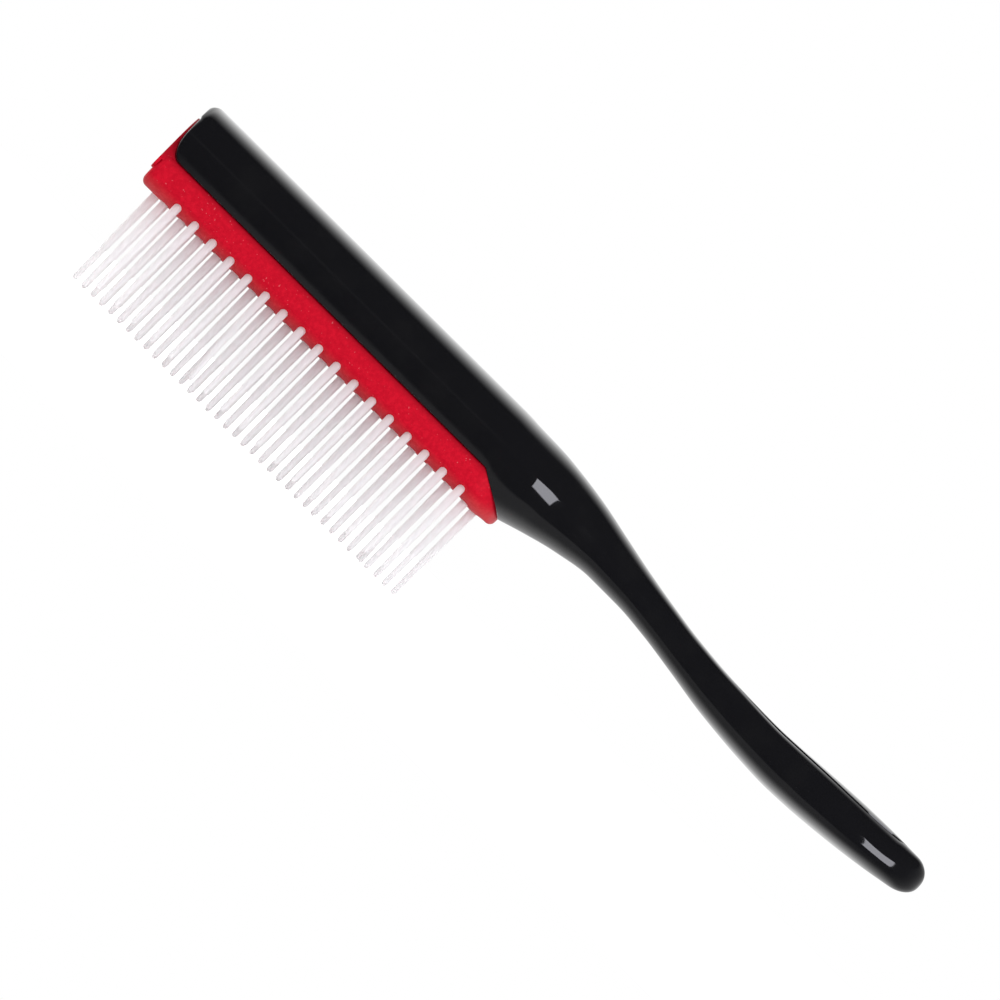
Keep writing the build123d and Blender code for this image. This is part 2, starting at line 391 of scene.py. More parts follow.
# %% Piece helpers
def tidy_mesh(bm, name, sharp_angle=40):
    """Merge doubles, point the faces outwards, and make a mesh with smooth shading."""
    bmesh.ops.remove_doubles(bm, verts=bm.verts, dist=0.001 * MM)
    bmesh.ops.recalc_face_normals(bm, faces=bm.faces)
    for face in bm.faces:
        face.smooth = True
    mesh = bpy.data.meshes.new(name)
    bm.to_mesh(mesh)
    bm.free()
    mesh.set_sharp_from_angle(angle=radians(sharp_angle))
    return mesh


def show(mesh, name, material=None):
    piece = bpy.data.objects.new(name, mesh)
    bpy.context.scene.collection.objects.link(piece)
    if material:
        mesh.materials.clear()
        mesh.materials.append(material)
    return piece


def seat_piece(piece, body, node):
    """The piece rides on its body and stands for its node."""
    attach(piece, body)
    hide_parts(node)
    print(piece.name, "for", node, "with", len(piece.data.polygons), "faces")


def carve(mesh, cutters, name, sharp_angle=40):
    """A mesh joined with or cut by others, each given with its operation, as a new mesh."""
    base = show(mesh, name)
    tools = []
    for operation, cutter in cutters:
        tool = show(cutter, "tool")
        tools.append(tool)
        step = base.modifiers.new(operation.lower(), "BOOLEAN")
        step.operation = operation
        step.object = tool
        step.solver = "EXACT"
    settled = base.evaluated_get(bpy.context.evaluated_depsgraph_get())
    carved = bpy.data.meshes.new_from_object(settled)
    for thing in [base] + tools:
        bpy.data.objects.remove(thing)
    for polygon in carved.polygons:
        polygon.use_smooth = True
    carved.set_sharp_from_angle(angle=radians(sharp_angle))
    carved.name = name
    return carved


def block(start, end, half_width, bottom, top, y=0.0):
    """A square-ended bar."""
    bm = bmesh.new()
    bmesh.ops.create_cube(bm, size=1.0)
    size = Vector((end - start, 2 * half_width, top - bottom)) * MM
    middle = spot((start + end) / 2, y, (bottom + top) / 2)
    bmesh.ops.scale(bm, vec=size, verts=bm.verts)
    bmesh.ops.translate(bm, vec=middle, verts=bm.verts)
    return tidy_mesh(bm, "block")


def extrude(bm, x=0.0, y=0.0, z=0.0):
    """Draw a flat outline out into a solid."""
    risen = bmesh.ops.extrude_face_region(bm, geom=bm.faces[:])["geom"]
    moved = [item for item in risen if isinstance(item, bmesh.types.BMVert)]
    bmesh.ops.translate(bm, vec=(x * MM, y * MM, z * MM), verts=moved)


def nosed_block(start, straight_end, nose, half_width, bottom, top):
    """A bar with a half-ellipse nose: a disc whose back half is pushed out to a square end."""
    bm = bmesh.new()
    bmesh.ops.create_circle(bm, cap_ends=True, segments=96, radius=1.0)
    for vert in bm.verts:
        ahead = vert.co.x > 1e-6
        x = straight_end + vert.co.x * (nose - straight_end) if ahead else start
        vert.co = spot(x, vert.co.y * half_width, bottom)
    extrude(bm, z=top - bottom)
    return tidy_mesh(bm, "nosed_block")


def bent_grid(last_column, half_rows, point, name):
    """A flat grid, bent: point gives each vertex a place from its column and its row, which
    is 0 along the middle."""
    last_row = 2 * (half_rows - 1)
    bm = bmesh.new()
    bmesh.ops.create_grid(bm, x_segments=last_column, y_segments=last_row, size=1.0)
    for vert in bm.verts:
        column = round((vert.co.x + 1) / 2 * last_column)
        row = round((vert.co.y + 1) / 2 * last_row) - (half_rows - 1)
        vert.co = spot(*point(column, row))
    return tidy_mesh(bm, name)


print("piece helpers ready")

# %% [markdown]
# ## The handle's form
#
# Head, neck and grip are one moulding. Every cross-section is a squared ellipse with a back, a
# front, a widest level and a half width, and those sizes run smoothly along the brush. A few
# stations hold them, and a curve that never overshoots joins them. From the side they draw the
# solid model's outline, and across it they are eased a little, so that the gloss mirrors the
# soft box in clean patches.

# %% Sizes of the handle
head_height = 14.1
head_widest = 6.15
head_belly = 14.5
head_half_width = 16.0
head_corner_radius = 2.5
cheek_length = 3.2
cheek_height = 6.0
neck_lead = 10.9                # before the pad's nose, where the head turns into the neck
ramp_length = 9.1
ramp_start_pull = (0.25, 0.3)   # of its curve: shares of the length and of the depth
ramp_end_pull = (0.8, 0.7)
plate_thickness = 0.5
plate_gap = 0.05
plate_proud = 0.3               # the end plate stands out this far past the head's tip
plate_top = 9.5
slide_gap = 0.1
ramp_gap = 0.01
pin_pitch = 5.1
pin_counts = (17, 18, 19, 18, 19, 18, 17)
pad_tip_margin = 4.4
pad_nose_margin = 4.7

run_out = 1.0                   # cutting shapes run this far past what they cut
overlap = 0.2                   # joined shapes run this far into each other
hair = 0.001                    # keeps faces of joined shapes out of one plane
before_tip = tip_x - run_out
pad_tip_x = tip_x + plate_thickness
recess_x = pad_tip_x + plate_gap
head_tip_x = tip_x + plate_proud
ledge_z = plate_top + slide_gap
longest_row = (max(pin_counts) - 1) * pin_pitch
pins_middle_x = pad_tip_x + pad_tip_margin + longest_row / 2
nose_x = pins_middle_x + longest_row / 2 + pad_nose_margin
neck_start_x = nose_x - neck_lead
ramp_start_x = nose_x - ramp_length
cheek_x = recess_x + cheek_length

# share of the way to the grip's end, back, front, widest level, half width, and fullness of
# the back and of the front
grip_stations = (
    (0.03, 13.9, -7.8, 5.5, 15.7, 2.0, 2.3),
    (0.086, 13.65, -5.9, 4.45, 14.7, 1.9, 2.6),
    (0.13, 13.1, -4.25, 4.0, 12.8, 2.0, 2.7),
    (0.19, 12.0, -2.35, 3.7, 11.5, 2.0, 2.7),
    (0.26, 10.15, -1.05, 3.3, 10.0, 2.0, 2.7),
    (0.325, 8.45, -1.1, 2.6, 8.7, 2.2, 2.6),
    (0.39, 7.0, -1.8, 1.7, 7.5, 2.5, 2.6),
    (0.46, 5.7, -3.1, 0.7, 7.1, 2.8, 2.6),
    (0.55, 4.75, -4.9, -0.3, 7.2, 3.2, 2.5),
    (0.65, 4.45, -6.05, -0.9, 8.1, 3.4, 2.5),
    (0.7, 4.7, -6.3, -1.0, 8.65, 3.2, 2.5),
    (0.75, 5.1, -6.1, -1.0, 9.1, 2.8, 2.5),
    (0.8, 5.455, -5.645, -0.94, 9.34, 2.45, 2.45),
    (0.85, 5.7, -5.0, -0.8, 9.5, 2.15, 2.4),
    (0.915, 5.8, -3.9, -0.25, 9.6, 1.88, 2.2),
    (0.95, 5.7, -3.15, 0.3, 9.6, 1.85, 2.1),
    (1.0, 5.65, -2.05, 1.2, 9.6, 1.9, 2.0),
)
taper_length = 29.0
dome_length = 4.5
dome_x = grip_end_x - dome_length
head_sizes = (head_height, head_widest - head_belly, head_widest, head_half_width, 2.0, 2.0)
stations = [(before_tip, *head_sizes), (neck_start_x, *head_sizes)]
for share, *sizes in grip_stations:
    stations.append((neck_start_x + share * (grip_end_x - neck_start_x), *sizes))


def slope_at(index, column):
    """A station's slope: none at the tip or a peak, else between its neighbours' slopes."""
    if index == 0:
        return 0.0
    if index == len(stations) - 1:
        before, here = stations[-2:]
        return (here[column] - before[column]) / (here[0] - before[0])
    before, here, after = stations[index - 1 : index + 2]
    left = (here[column] - before[column]) / (here[0] - before[0])
    right = (after[column] - here[column]) / (after[0] - here[0])
    return 0.0 if left * right <= 0 else 2 * left * right / (left + right)


def sizes_at(x):
    """Back, front, widest level, half width and the two fullnesses at a place."""
    index = max(i for i in range(len(stations) - 1) if stations[i][0] <= x)
    start, end = stations[index], stations[index + 1]
    span = end[0] - start[0]
    t = (x - start[0]) / span
    sizes = []
    for column in range(1, len(start)):
        rise = end[column] - start[column]
        leave, arrive = slope_at(index, column) * span, slope_at(index + 1, column) * span
        bend = t**2 * (3 * rise - 2 * leave - arrive) + t**3 * (leave + arrive - 2 * rise)
        sizes.append(start[column] + t * leave + bend)
    return sizes


ramp_depth = -sizes_at(nose_x)[1]
print("sections from", round(head_tip_x, 1), "to the dome at", round(dome_x, 1))

# %% [markdown]
# ## One half of a cross-section
#
# From the middle of the back, a row of points runs down the side, rounds the lower edge, and
# crosses the flat underside to the middle. The other half mirrors it. On the grip the middle of
# the back is a slightly raised flat with a low wall round it, which draws a fine double line
# along the edge when it is seen from the side. The flat fades in behind the neck and narrows to
# a round end.

# %% Half sections
raised_height = 0.22            # of the flat on the grip's back
raised_start = (60.0, 40.0)     # it begins and is full this far from the grip's end
raised_finish = (26.0, 8.0)     # and narrows to its rounded end between these
raised_share = 0.52             # of the half width
raised_fade = 2.0               # length over which the rounded end sinks in
raised_least = 0.02             # keeps the narrowest share above nothing
raised_wall_foot = 0.1          # share of the height that is left at the foot of the wall
raised_rows, upper_rows, lower_rows, corner_rows, under_rows = 8, 18, 18, 5, 6
half_rows = raised_rows + upper_rows + lower_rows + corner_rows + under_rows
seat_softness = 0.35            # rounding of the lower edge
ramp_softness = 0.1             # the same along the ramp
cheek_softness = 1.0            # the same near the tip
cheek_tail = 1.0                # and this far past the cheek it is the seat's again
tip_softness = 0.8              # rounding round the head's end
softness_fade = 3.0             # length over which the rounding runs out at the pad's nose
ramp_lead = 3.0                 # before the ramp, where edges begin to sharpen
sharpening = 4.0                # and the length that they take to do so
halvings = 30                   # of the ramp's curve, to find a place on it


def smooth_step(value):
    value = min(max(value, 0.0), 1.0)
    return value * value * (3 - 2 * value)


def turn_from(place, fullness):
    """Turn of a point round a section, for even spacing: 1 is the back, 0 the widest level."""
    power = fullness / 2
    share = min(abs(place), 1.0)
    near, far = share**power, (1 - share) ** power
    turn = pi / 2 * near / (near + far)
    return turn if place > 0 else -turn


def place_from(turn, fullness):
    """The place that gives a turn."""
    share = min(abs(turn) / (pi / 2), 1.0)
    near, far = share ** (2 / fullness), (1 - share) ** (2 / fullness)
    return near / (near + far) if turn > 0 else -near / (near + far)


def bezier(start, start_pull, end_pull, end, t):
    one = 1 - t
    return one**3 * start + 3 * one * one * t * start_pull + 3 * one * t * t * end_pull + t**3 * end


def ramp_z(x):
    """Height of the neck's face behind the pad, found by halving along its curve."""
    share = min(max((x - ramp_start_x) / ramp_length, 0.0), 1.0)
    low, high = 0.0, 1.0
    for _ in range(halvings):
        t = (low + high) / 2
        if bezier(0.0, ramp_start_pull[0], ramp_end_pull[0], 1.0, t) < share:
            low = t
        else:
            high = t
    return -ramp_depth * bezier(0.0, ramp_start_pull[1], ramp_end_pull[1], 1.0, low)


def near_ramp(x):
    """0 along the straight seat and 1 along the ramp."""
    return smooth_step((x - ramp_start_x + ramp_lead) / sharpening)


def lower_edge(x):
    """Height of the handle's lower edge: cheek, seat and ramp."""
    if x < cheek_x:
        reach = min((cheek_x - x) / cheek_length, 1.0)
        return cheek_height * (1 - sqrt(1 - reach**2))
    return 0.0 if x < ramp_start_x else ramp_z(x)


def raised_at(x):
    """Height of the raised flat and its share of the half width: it fades in and narrows out."""
    from_end = grip_end_x - x
    rise = smooth_step((raised_start[0] - from_end) / (raised_start[0] - raised_start[1]))
    fall = smooth_step((from_end - raised_finish[1]) / raised_fade)
    narrowed = (raised_finish[0] - from_end) / (raised_finish[0] - raised_finish[1])
    share = raised_share * sqrt(max(raised_least, 1 - max(0.0, narrowed) ** 2))
    return raised_height * rise * fall, share


def half_section(x, inset=0.0, dome_share=1.0):
    """Points from the middle of the back to the middle of the underside, as (y, z)."""
    back, front, widest, half_width, back_full, front_full = sizes_at(x)
    into_corner = head_corner_radius - max(x - head_tip_x, 0.0)
    if into_corner > 0:
        back -= head_corner_radius - sqrt(head_corner_radius**2 - into_corner**2)
    into_taper = max(0.0, (x - grip_end_x + taper_length) / taper_length)
    half_width = half_width * sqrt(max(0.0, 1 - into_taper**2)) - inset
    back = widest + dome_share * (back - widest)
    front = widest + dome_share * (front - widest)
    raised, flat_share = raised_at(x)
    raised *= dome_share
    back -= raised

    def skin(turn):
        height, fullness = (back, back_full) if turn > 0 else (front, front_full)
        y = half_width * abs(cos(turn)) ** (2 / fullness)
        z = widest + (height - widest) * abs(sin(turn)) ** (2 / fullness)
        return y, z

    def turn_at(z):
        height, fullness = (back, back_full) if z > widest else (front, front_full)
        share = min((z - widest) / (height - widest), 1.0) ** (fullness / 2)
        return asin(share) if z > widest else -asin(share)

    cut = x < nose_x
    near_tip = smooth_step((cheek_x + cheek_tail - x) / cheek_length)
    softness = (seat_softness + (cheek_softness - seat_softness) * near_tip
                + (ramp_softness - seat_softness) * near_ramp(x))
    softness *= smooth_step((nose_x - x) / softness_fade) if cut else 0.0
    edge = lower_edge(x) + inset if cut else front
    last_turn = turn_at(edge + softness) if cut else -pi / 2
    wall_turn = acos(flat_share ** (back_full / 2))

    points = []
    for row in range(raised_rows):
        turn = pi / 2 + (wall_turn - pi / 2) * row / (raised_rows - 1)
        y, z = skin(turn)
        points.append((y if row else 0.0, z + raised))
    first = place_from(wall_turn, back_full)
    last = place_from(last_turn, back_full if last_turn > 0 else front_full)
    middle = max(last, 0.0)
    for row in range(upper_rows):
        y, z = skin(turn_from(first + (middle - first) * row / upper_rows, back_full))
        points.append((y + raised_wall_foot * raised if row == 0 else y, z))
    for row in range(lower_rows):
        place = middle + (last - middle) * row / (lower_rows - 1)
        points.append(skin(turn_from(place, back_full if place > 0 else front_full)))
    start = points[-1]
    edge_y = skin(turn_at(edge))[0] if cut else 0.0
    for row in range(1, corner_rows + 1):
        t = row / corner_rows
        pulls = (1 - t) ** 2, 2 * t * (1 - t), t * t
        y = pulls[0] * start[0] + pulls[1] * edge_y + pulls[2] * max(edge_y - softness, 0.0)
        z = pulls[0] * start[1] + (pulls[1] + pulls[2]) * edge
        points.append((y, z) if cut else (0.0, front))
    last_y = points[-1][0]
    for row in range(1, under_rows + 1):
        points.append((last_y * (1 - row / under_rows), edge))
    return points


print("rows in half a section:", len(half_section(0.0)), "of", half_rows)

# %% [markdown]
# ## The handle's skin
#
# A flat grid is bent round the brush: its columns become cross-sections and its rows run from
# tip to end. A first column folded to the middle closes the head's end, and a last column
# gathered to one point closes the dome. The columns stand close together where the shape turns
# quickly. At the tip the upper part reaches a little further than the part behind the rubber's
# end plate, so the shift of a column there depends on its height.

# %% Columns along the handle
def spread(start, end, gap):
    """Columns from start up to but not including end, about one gap apart and not inset."""
    count = max(1, round((end - start) / gap))
    return [(start + (end - start) * step / count, 0.0) for step in range(count)]


def round_in(start, radius, turn):
    """Columns that round the edge of an end face: their places and insets, a turn apart."""
    reaches = [radius * (1 - cos(radians(angle))) for angle in range(0, 90, turn)]
    return [(start + reach, radius - sqrt(radius**2 - (radius - reach) ** 2))
            for reach in reaches]


tip_blend = 2.6                 # length over which the tip's step fades out
ledge_blend = 0.6               # height over which it comes in
dome_fullness = 0.85
about_nose = (-0.4, -0.2, -0.1, -0.05, -0.02, 0, 0.05, 0.2, 0.5)
columns = (round_in(recess_x, tip_softness, 13)
           + spread(recess_x + tip_softness, cheek_x, gap=0.2)
           + spread(cheek_x, ramp_start_x, gap=2.0)
           + spread(ramp_start_x, nose_x + about_nose[0], gap=0.4)
           + [(nose_x + beyond, 0.0) for beyond in about_nose]
           + spread(nose_x + 1.0, dome_x, gap=1.0))
dome_columns = [(dome_x + dome_length * sin(radians(angle)), cos(radians(angle)) ** dome_fullness)
                for angle in (0, 8, 16, 24, 32, 40, 48, 56, 63, 69, 74, 79, 83, 86.5)]


def handle_point(column, row):
    """Place of one grid point: columns from the folded first to the gathered last."""
    side = -1 if row < 0 else 1
    step = abs(row)
    if column == 0:
        x, z = handle_point(1, row)[0], handle_point(1, row)[2]
        return x, 0.0, z
    if column <= len(columns):
        x, inset = columns[column - 1]
        y, z = half_section(x, inset)[step]
        above_ledge = smooth_step((z - ledge_z) / ledge_blend)
        fade = max(0.0, 1 - (x - recess_x) / tip_blend)
        return x + (head_tip_x - recess_x) * above_ledge * fade, side * y, z
    beyond = column - len(columns) - 1
    if beyond < len(dome_columns):
        x, dome_share = dome_columns[beyond]
        y, z = half_section(x, 0.0, dome_share)[step]
        return x, side * y, z
    return grip_end_x, 0.0, sizes_at(grip_end_x)[2]


skin_mesh = bent_grid(len(columns) + len(dome_columns) + 1, half_rows, handle_point, "handle_skin")
print("skin:", len(skin_mesh.vertices), "points")

# %% [markdown]
# ## Hollowing the head
#
# Behind the pad the head is hollow: a channel takes the rubber's core, a groove down each side
# takes its tongues, and a rounded cavity behind keeps the moulding light. Each is a simple
# closed shape, so the skin is cut with them. That would be slow and untidy to model by hand.

# %% Channel, groove and cavity
core_half_width = 12.4
core_height = 3.0
core_inset = 1.7
tongue_reach = 1.1
tongue_height = 1.7
nose_length = 8.9
cavity_half_width = 11.5
cavity_height = 5.4

nose_start_x = nose_x - nose_length
core_end_x = nose_x - core_inset
roof_z = core_height + slide_gap


def cavity_block():
    """A half-round bar along the back of the channel."""
    bm = bmesh.new()
    bmesh.ops.create_circle(bm, cap_ends=True, segments=96, radius=1.0)
    for vert in bm.verts:
        z = roof_z + vert.co.y * cavity_height if vert.co.y > 0 else roof_z - run_out / 2
        vert.co = spot(before_tip, vert.co.x * cavity_half_width, z)
    extrude(bm, x=nose_start_x - before_tip)
    return tidy_mesh(bm, "cavity")


cutters = [
    nosed_block(before_tip, nose_start_x, core_end_x + slide_gap, core_half_width + slide_gap,
                -pad_depth - 2 * run_out, roof_z),
    block(before_tip, nose_start_x + slide_gap, core_half_width + tongue_reach + slide_gap,
          core_height - tongue_height - slide_gap, roof_z - hair),
    cavity_block(),
]
handle_mesh = carve(skin_mesh, [("DIFFERENCE", cutter) for cutter in cutters], "handle_moulding")
handle = show(handle_mesh, "handle_moulding", black_plastic)
seat_piece(handle, "handle", "handle")

# %% [markdown]
# ## The pins' places
#
# Seven rows stand across the pad, and alternate rows hold one pin more or less, so the pins are
# staggered. Each row leans out a little more than the one inside it. The pad needs these places
# too, because rubber dips where a pin comes through.

# %% Rows and levels
pad_half_width = 14.2
pad_wall = 4.3
shoulder_width = 5.9
pin_side_margin = 1.45
row_fan = 5.0
pin_base_radius = 0.93
pin_tip_radius = 0.6

rows = len(pin_counts)
middle_row = (rows - 1) / 2
row_spacing = (pad_half_width - pin_side_margin) / middle_row
crown_half_width = pad_half_width - shoulder_width
shoulder_height = pad_depth - pad_wall


def rubber_level(y):
    """Height of the pad's face at a distance y from the middle."""
    past_crown = max(0.0, abs(y) - crown_half_width) / shoulder_width
    return -pad_wall - shoulder_height * sqrt(1.0 - past_crown**2)


def row_axis(row):
    """A row's distance from the middle at the rubber, its lean in degrees, and its depth."""
    y = (row - middle_row) * row_spacing
    return y, (row - middle_row) * row_fan, rubber_level(y)


def pin_places(row):
    first = pins_middle_x - pin_pitch * (pin_counts[row] - 1) / 2
    return [first + pin_pitch * step for step in range(pin_counts[row])]


pin_roots = [(x, row_axis(row)[0]) for row in range(rows) for x in pin_places(row)]
print(len(pin_roots), "pins")

# %% [markdown]
# ## The pad's form
#
# The rubber pad is a long loaf: straight walls under the head, round shoulders, a flat crown for
# the pins, a soft rounding at the tip, and a nose that narrows to the neck and slopes down under
# its ramp. It is moulded solid and firm, not stuffed, so it is shaped directly and not swelled
# by a simulation. A fine grid lets the rubber dip round every pin.

# %% Half sections of the pad
pad_edge_radius = 1.5           # round the tip face
nose_radius = 1.4
wall_edge = (0.45, 1.1)         # soft upper edge of the walls: in, and down
ramp_edge = 0.15                # share of it that is left under the ramp
dimple_depth = 0.2
dimple_width = 0.8              # from a pin's side to where the rubber is flat again
nose_bulge = 0.4                # the crown's swelling behind the last pins
nose_bulge_x = nose_x - 5.5
nose_bulge_reach = 4.0
closing_lead = 3.0              # before the core's end, where the seat's gap begins to close
closing_length = 2.0
edge_most = 0.4                 # of the wall's height, at most, goes into the rounded edge
top_rows, edge_rows, wall_rows, shoulder_rows, crown_rows = 3, 6, 5, 15, 20
pad_half_rows = top_rows + edge_rows + wall_rows + shoulder_rows + crown_rows
nose_end_x = nose_x - ramp_gap


def pad_top(x):
    """Height of the pad's upper face: a little under the seat, and touching at the nose."""
    closed = smooth_step((x - core_end_x + closing_lead) / closing_length)
    gap = slide_gap / 2 * (1 - closed) + ramp_gap
    return (ramp_z(x + ramp_gap) if x > ramp_start_x - ramp_gap else 0.0) - gap


def pad_bottom(x):
    """Height of the crown, which rounds up at the nose."""
    into_round = max(0.0, x - (nose_end_x - nose_radius)) / nose_radius
    bulge = nose_bulge * smooth_step(1 - abs(x - nose_bulge_x) / nose_bulge_reach)
    return -pad_depth - bulge + nose_radius * (1 - sqrt(max(0.0, 1 - into_round**2)))


def pad_half(x, inset=0.0):
    """Points from the middle of the upper face to the middle of the crown, as (y, z)."""
    into_nose = max(0.0, (x - nose_start_x) / (nose_end_x - nose_start_x))
    plan = sqrt(max(0.0, 1 - into_nose**2))
    top, bottom = pad_top(x), pad_bottom(x) + inset
    half_width = pad_half_width - inset
    edge_in, edge_down = (size * (1 - (1 - ramp_edge) * near_ramp(x)) for size in wall_edge)
    edge_down = min(edge_down, edge_most * (top - bottom))
    start_z = top - edge_down
    sunk = min(1.0, max(0.0, (-pad_wall - start_z) / (-pad_wall - bottom)))
    first_turn = asin(sunk)
    shoulder = half_width - crown_half_width
    start_y = crown_half_width + shoulder * cos(first_turn)
    points = []
    for row in range(top_rows):
        points.append(((start_y - edge_in) * row / top_rows, top))
    for row in range(edge_rows):
        turn = pi / 2 * row / edge_rows
        points.append((start_y - edge_in * (1 - sin(turn)), top - edge_down * (1 - cos(turn))))
    wall_end = min(start_z, -pad_wall)
    for row in range(wall_rows):
        points.append((start_y, start_z + (wall_end - start_z) * row / wall_rows))
    for row in range(shoulder_rows):
        turn = first_turn + (pi / 2 - first_turn) * row / shoulder_rows
        y = crown_half_width + shoulder * cos(turn)
        points.append((y, -pad_wall + (bottom + pad_wall) * sin(turn)))
    for row in range(crown_rows):
        points.append((crown_half_width * (1 - row / (crown_rows - 1)), bottom))
    return [(y * plan, z) for y, z in points]


def dip(x, y):
    """How far the rubber is drawn in near the pins."""
    deepest = 0.0
    reach = pin_base_radius + dimple_width
    for root_x, root_y in pin_roots:
        if abs(x - root_x) < reach and abs(y - root_y) < reach:
            away = sqrt((x - root_x) ** 2 + (y - root_y) ** 2) - pin_base_radius
            deepest = max(deepest, dimple_depth * (1 - smooth_step(away / dimple_width)))
    return deepest


print("rows in half a pad section:", len(pad_half(0.0)), "of", pad_half_rows)

# %% The pad's body
pad_columns = (round_in(pad_tip_x, pad_edge_radius, 15)
               + spread(pad_tip_x + pad_edge_radius, nose_start_x, gap=0.5))
pad_columns += [(nose_start_x + (nose_end_x - nose_start_x) * sin(radians(angle)), 0.0)
                for angle in list(range(0, 80, 3)) + [80, 82, 84, 86, 87.5, 88.7, 89.5, 90]]
pad_halves = [pad_half(x, inset) for x, inset in pad_columns]


def pad_point(column, row):
    """Place of one grid point: the first column is folded to the middle and closes the tip."""
    index = max(column - 1, 0)
    x = pad_columns[index][0]
    y, z = pad_halves[index][abs(row)]
    if column == 0:
        return x, 0.0, z
    y = y if row > 0 else -y
    return x, y, z + dip(x, y) if z < -pad_wall else z


body_mesh = bent_grid(len(pad_columns), pad_half_rows, pad_point, "pad_body")
print("pad body:", len(body_mesh.vertices), "points")

# %% [markdown]
# ## Core, tongues, heel and end plate
#
# Out of sight, the pad has a core that stands in the channel, with a tongue down each side, and
# slots in its back for the comb strips. At the tip a thin round-topped plate closes the head,
# and a heel of rubber behind it fills the head's rounded lower corners. These are joined to the
# body, so the pad stays one moulding.

# %% The whole pad
plate_half_width = 13.9
plate_drop = 4.4
plate_shoulder = 3.2
plate_squareness = 11.0         # of the plate's lower corners
plate_easing = 0.15
heel_half_width = 13.9          # rubber behind the plate, under the head's rounded corners
heel_bottom = -1.8              # it starts inside the body
core_root = -6.0                # so does the core
backbone_width = 2.2
backbone_height = 1.0
backbone_overhang = 1.6
pin_gap = 0.02
backbone_middle = core_height - backbone_height / 2


def end_plate():
    """A plate with a round top and squared lower corners, and its edges eased."""
    bm = bmesh.new()
    bmesh.ops.create_circle(bm, cap_ends=True, segments=120, radius=1.0)
    for vert in bm.verts:
        turn = vert.co.normalized()
        power = 2 / plate_squareness if turn.y < 0 else 1.0
        y = abs(turn.x) ** power * (1 if turn.x > 0 else -1) * plate_half_width
        reach = plate_top - plate_shoulder if turn.y > 0 else -(plate_shoulder + plate_drop)
        vert.co = spot(tip_x, y, plate_shoulder + reach * abs(turn.y) ** power)
    extrude(bm, x=plate_thickness + overlap)
    outside = (tip_x + plate_thickness / 2) * MM
    rim = [edge for edge in bm.edges if all(vert.co.x < outside for vert in edge.verts)]
    bmesh.ops.bevel(bm, geom=rim, offset=plate_easing * MM, segments=3, profile=0.5,
                    affect="EDGES", material=-1)
    return tidy_mesh(bm, "end_plate")


def heel():
    """The rubber that fills the head's rounded corners, drawn from the side."""
    end_x = recess_x + cheek_length - slide_gap
    top = cheek_height - slide_gap
    profile = [(pad_tip_x + overlap / 2, heel_bottom), (end_x, heel_bottom)]
    for angle in range(270, 179, -5):
        turn = radians(angle)
        profile.append((end_x + cheek_length * cos(turn), top + cheek_height * sin(turn)))
    bm = bmesh.new()
    bm.faces.new([bm.verts.new(spot(x, -heel_half_width, z)) for x, z in profile])
    extrude(bm, y=2 * heel_half_width)
    return tidy_mesh(bm, "heel")


def backbone_y(row):
    """Where a row's leaning pins cross the middle of its backbone."""
    y, lean, level = row_axis(row)
    return y - (backbone_middle - level) * tan(radians(lean))


def backbone_ends(row):
    places = pin_places(row)
    return places[0] - backbone_overhang, places[-1] + backbone_overhang


additions = [
    nosed_block(pad_tip_x + overlap / 2, nose_start_x, core_end_x, core_half_width, core_root,
                core_height),
    block(pad_tip_x + overlap / 2, nose_start_x, core_half_width + tongue_reach,
          core_height - tongue_height, core_height - hair),
    heel(),
    end_plate(),
]
slots = []
for row in range(rows):
    start, end = backbone_ends(row)
    slots.append(block(start - pin_gap, end + pin_gap, backbone_width / 2 + pin_gap,
                       core_height - backbone_height - pin_gap, core_height + run_out,
                       backbone_y(row)))
steps = [("UNION", mesh) for mesh in additions] + [("DIFFERENCE", mesh) for mesh in slots]
pad = show(carve(body_mesh, steps, "cushion_pad_moulding", 32), "cushion_pad_moulding", rubber)
seat_piece(pad, "pad", "cushion_pad")

# %% [markdown]
# ## The comb strips
#
# A pin is a slim tapered rod with a ball end, so that it doesn't scratch. One profile is spun
# round its axis, and the finished pin is set along each row, leaning with its row. No two real
# pins stay quite straight, so each bends by a hair, and a few that have been caught in hair bend
# more. The backbone that joins a row is hidden in the core's slot.

# %% One pin
pin_sides = 12


def pin_mesh():
    taper_end = pin_tip_radius - pin_reach
    shank = backbone_middle + pad_depth
    profile = [(0.0, shank), (pin_base_radius, shank), (pin_base_radius, 0.0)]
    for share in (0.3, 0.6, 1.0):
        radius = pin_base_radius + (pin_tip_radius - pin_base_radius) * share
        profile.append((radius, taper_end * share))
    for angle in (35, 65, 90):
        profile.append((pin_tip_radius * cos(radians(angle)),
                        taper_end - pin_tip_radius * sin(radians(angle))))
    bm = bmesh.new()
    points = [bm.verts.new((radius * MM, 0, z * MM)) for radius, z in profile]
    lines = [bm.edges.new(pair) for pair in zip(points, points[1:])]
    bmesh.ops.spin(bm, geom=points + lines, cent=(0, 0, 0), axis=(0, 0, 1), angle=2 * pi,
                   steps=pin_sides, use_merge=True)
    return tidy_mesh(bm, "pin")


one_pin = pin_mesh()
print("one pin:", len(one_pin.polygons), "faces")

# %% Seven strips
chance = random.Random(11)
caught_share = 0.06             # of the pins have been caught in hair
caught_bend = 0.4
usual_bend = (0.06, 0.1)        # along and across the brush


def bend_of_pin():
    """How far a pin's tip has strayed along and across the brush."""
    caught = chance.random() < caught_share
    along = chance.gauss(0, caught_bend if caught else usual_bend[0])
    return along, chance.gauss(0, usual_bend[1])


